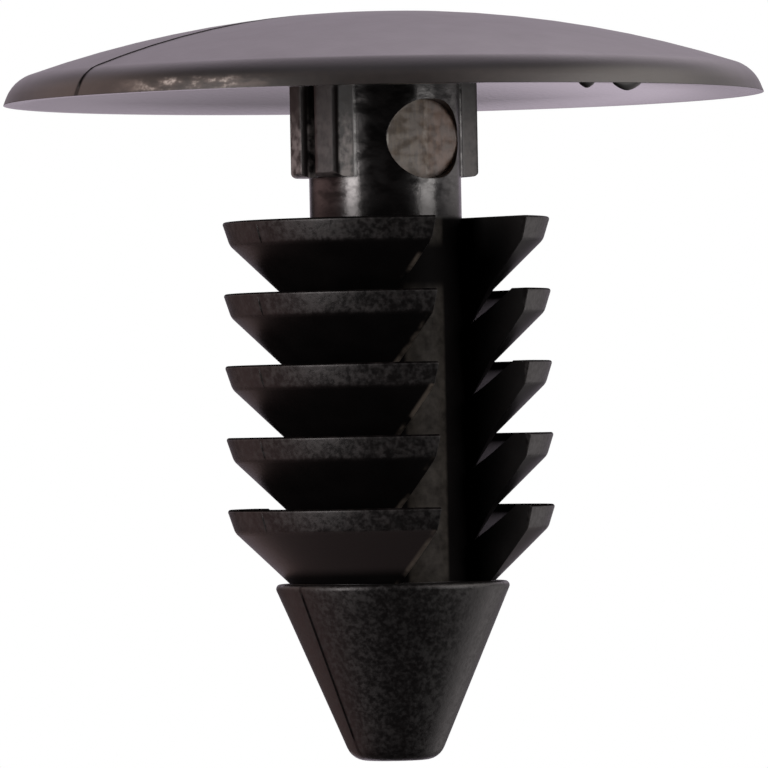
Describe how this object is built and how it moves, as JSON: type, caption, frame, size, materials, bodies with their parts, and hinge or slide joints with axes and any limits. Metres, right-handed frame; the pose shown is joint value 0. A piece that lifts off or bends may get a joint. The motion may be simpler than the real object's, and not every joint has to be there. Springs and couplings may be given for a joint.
{
  "type": "push-in fir tree clip",
  "caption": "One-piece black plastic push-in clip: a wide domed head on a round neck, split cupped barbs and a tapered tip that snap into a round panel hole.",
  "frame": {"origin": "centre of the head's seat, on the axis of the stem", "axes": "+Z out of the head along the stem's axis, so the stem points to -Z; +X through the middle of one group of barbs; the slots open to -Y and +Y and the ejector mark faces -Y"},
  "size_m": [0.025, 0.025, 0.0246],
  "materials": {
    "black_nylon": "satin moulded nylon"
  },
  "bodies": {
    "root": {"fir_tree_clip": "black_nylon"}
  },
  "joints": []
}
